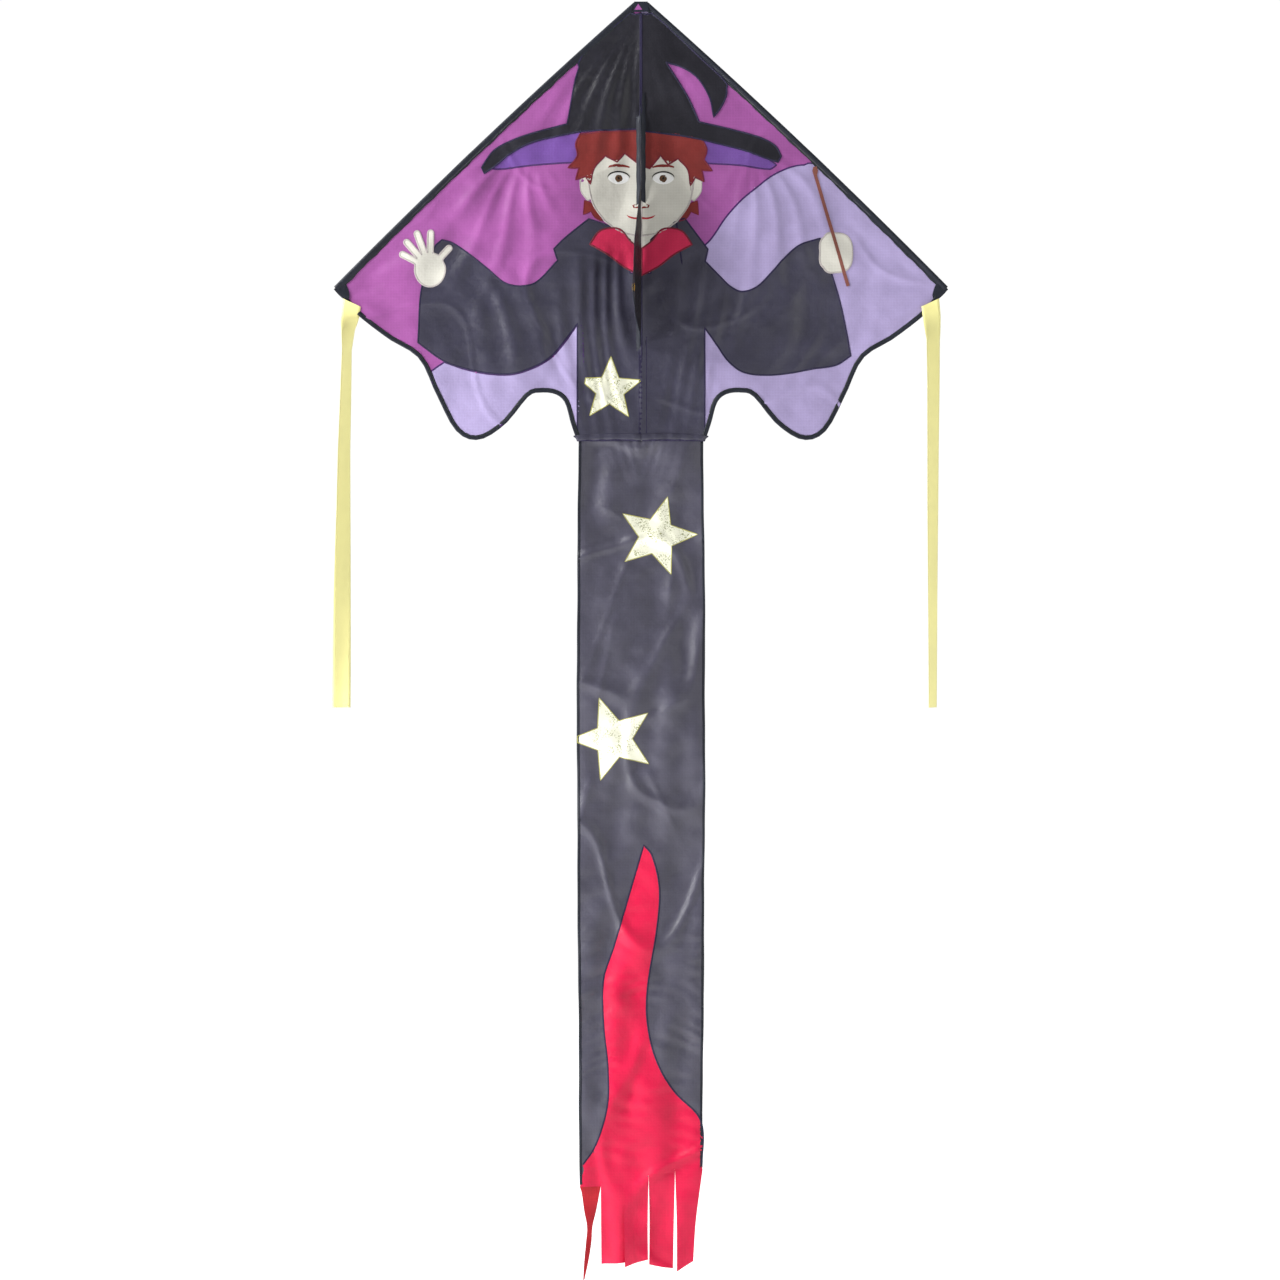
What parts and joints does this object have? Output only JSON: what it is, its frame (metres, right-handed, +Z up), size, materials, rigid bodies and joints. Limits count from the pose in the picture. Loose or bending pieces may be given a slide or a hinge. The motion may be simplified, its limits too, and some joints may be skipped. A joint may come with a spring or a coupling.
{
  "type": "delta kite",
  "caption": "Single-line delta kite with a front keel, snap-in spreader, appliqued picture sail, wing tip ribbons and a long banner tail that ends in a fringe.",
  "frame": {"origin": "middle of the nose's top edge, in the plane of the sail", "axes": "+X along the span to the right of the picture, -Y out of the printed front towards the flyer, +Z up towards the nose"},
  "size_m": [1.132, 0.1662, 2.347],
  "materials": {
    "magenta_nylon": "satin ripstop",
    "lavender_nylon": "satin ripstop",
    "robe_nylon": "satin ripstop",
    "black_nylon": "satin ripstop",
    "hat_nylon": "satin ripstop",
    "cream_nylon": "satin ripstop",
    "red_nylon": "satin ripstop",
    "yellow_ribbon": "satin",
    "gold_lame": "metallic lame",
    "wand_cloth": "satin ripstop",
    "keel_tape": "woven tape",
    "carbon_rod": "pultruded glass fibre",
    "wood_rod": "smooth dowel",
    "black_vinyl": "soft vinyl",
    "brass": "polished"
  },
  "bodies": {
    "centre": {"spine_rod": "wood_rod", "spine_nose_cap": "black_vinyl", "spine_tail_cap": "black_vinyl", "spine_sleeve": "black_nylon", "nose_patch": "black_nylon", "centre_panel_left": "magenta_nylon", "centre_panel_right": "lavender_nylon", "hat_inner_left": "hat_nylon", "hat_inner_right": "hat_nylon", "head_inner_left": "cream_nylon", "head_inner_right": "cream_nylon", "robe_inner_left": "robe_nylon", "robe_inner_right": "robe_nylon", "star_body": "gold_lame"},
    "left_wing": {"wing_panel_left": "magenta_nylon", "edge_rod_left": "carbon_rod", "edge_sleeve_left": "black_nylon", "tip_patch_left": "black_nylon", "trailing_binding_left": "black_nylon", "hat_outer_left": "hat_nylon", "head_outer_left": "cream_nylon", "robe_outer_left": "robe_nylon", "sky_patch_left": "lavender_nylon", "hand_left": "cream_nylon"},
    "right_wing": {"wing_panel_right": "lavender_nylon", "edge_rod_right": "carbon_rod", "edge_sleeve_right": "black_nylon", "tip_patch_right": "black_nylon", "trailing_binding_right": "black_nylon", "hat_outer_right": "hat_nylon", "head_outer_right": "cream_nylon", "robe_outer_right": "robe_nylon", "sky_patch_right": "magenta_nylon", "hand_right": "cream_nylon", "wand": "wand_cloth"},
    "keel": {"keel_fin": "black_nylon", "keel_patch": "keel_tape", "tow_grommet": "brass"},
    "spreader": {"spreader_rod": "carbon_rod", "spreader_clip_left": "black_vinyl", "spreader_clip_right": "black_vinyl"},
    "tail_upper": {"tail_upper": "robe_nylon", "star_upper": "gold_lame"},
    "tail_middle": {"tail_middle": "robe_nylon", "star_middle": "gold_lame"},
    "tail_lower": {"tail_lower": "robe_nylon", "flame": "red_nylon"},
    "fringe_1": {"fringe_1": "red_nylon"},
    "fringe_2": {"fringe_2": "red_nylon"},
    "fringe_3": {"fringe_3": "red_nylon"},
    "fringe_4": {"fringe_4": "red_nylon"},
    "fringe_5": {"fringe_5": "red_nylon"},
    "ribbon_upper_left": {"ribbon_upper_left": "yellow_ribbon"},
    "ribbon_lower_left": {"ribbon_lower_left": "yellow_ribbon"},
    "ribbon_upper_right": {"ribbon_upper_right": "yellow_ribbon"},
    "ribbon_lower_right": {"ribbon_lower_right": "yellow_ribbon"}
  },
  "joints": [
    {"name": "left_wing_fold", "type": "hinge", "parent": "centre", "child": "left_wing", "pos_m": [-0.013, -0.0043, 0], "axis": [0.1277, 0, 0.9918], "range_deg": [0, 90]},
    {"name": "right_wing_fold", "type": "hinge", "parent": "centre", "child": "right_wing", "pos_m": [0.013, -0.0043, 0], "axis": [-0.1277, 0, 0.9918], "range_deg": [-90, 0]},
    {"name": "keel_swing", "type": "hinge", "parent": "centre", "child": "keel", "pos_m": [0, -0.005, 0], "axis": [0, 0, 1], "range_deg": [-74, 86]},
    {"name": "spreader_unclip", "type": "slide", "parent": "centre", "child": "spreader", "axis": [0, 1, 0], "range_m": [0, 0.06]},
    {"name": "tail_upper_flap", "type": "hinge", "parent": "centre", "child": "tail_upper", "pos_m": [0, 0, -0.8085], "axis": [1, 0, 0], "range_deg": [-75, 75]},
    {"name": "tail_middle_flap", "type": "hinge", "parent": "tail_upper", "child": "tail_middle", "pos_m": [0, 0, -1.174], "axis": [1, 0, 0], "range_deg": [-60, 60]},
    {"name": "tail_lower_flap", "type": "hinge", "parent": "tail_middle", "child": "tail_lower", "pos_m": [0, 0, -1.538], "axis": [1, 0, 0], "range_deg": [-60, 60]},
    {"name": "fringe_1_flap", "type": "hinge", "parent": "tail_lower", "child": "fringe_1", "pos_m": [0, 0, -2.179], "axis": [1, 0, 0], "range_deg": [-70, 70]},
    {"name": "fringe_2_flap", "type": "hinge", "parent": "tail_lower", "child": "fringe_2", "pos_m": [0, 0, -2.174], "axis": [1, 0, 0], "range_deg": [-70, 70]},
    {"name": "fringe_3_flap", "type": "hinge", "parent": "tail_lower", "child": "fringe_3", "pos_m": [0, 0, -2.163], "axis": [1, 0, 0], "range_deg": [-70, 70]},
    {"name": "fringe_4_flap", "type": "hinge", "parent": "tail_lower", "child": "fringe_4", "pos_m": [0, 0, -2.153], "axis": [1, 0, 0], "range_deg": [-70, 70]},
    {"name": "fringe_5_flap", "type": "hinge", "parent": "tail_lower", "child": "fringe_5", "pos_m": [0, 0, -2.147], "axis": [1, 0, 0], "range_deg": [-70, 70]},
    {"name": "ribbon_upper_left_flap", "type": "hinge", "parent": "left_wing", "child": "ribbon_upper_left", "pos_m": [-0.544, 0, -0.577], "axis": [1, 0, 0], "range_deg": [-80, 80]},
    {"name": "ribbon_lower_left_flap", "type": "hinge", "parent": "ribbon_upper_left", "child": "ribbon_lower_left", "pos_m": [-0.544, 0, -0.93], "axis": [1, 0, 0], "range_deg": [-80, 80]},
    {"name": "ribbon_upper_right_flap", "type": "hinge", "parent": "right_wing", "child": "ribbon_upper_right", "pos_m": [0.539, 0, -0.577], "axis": [1, 0, 0], "range_deg": [-80, 80]},
    {"name": "ribbon_lower_right_flap", "type": "hinge", "parent": "ribbon_upper_right", "child": "ribbon_lower_right", "pos_m": [0.539, 0, -0.93], "axis": [1, 0, 0], "range_deg": [-80, 80]}
  ]
}
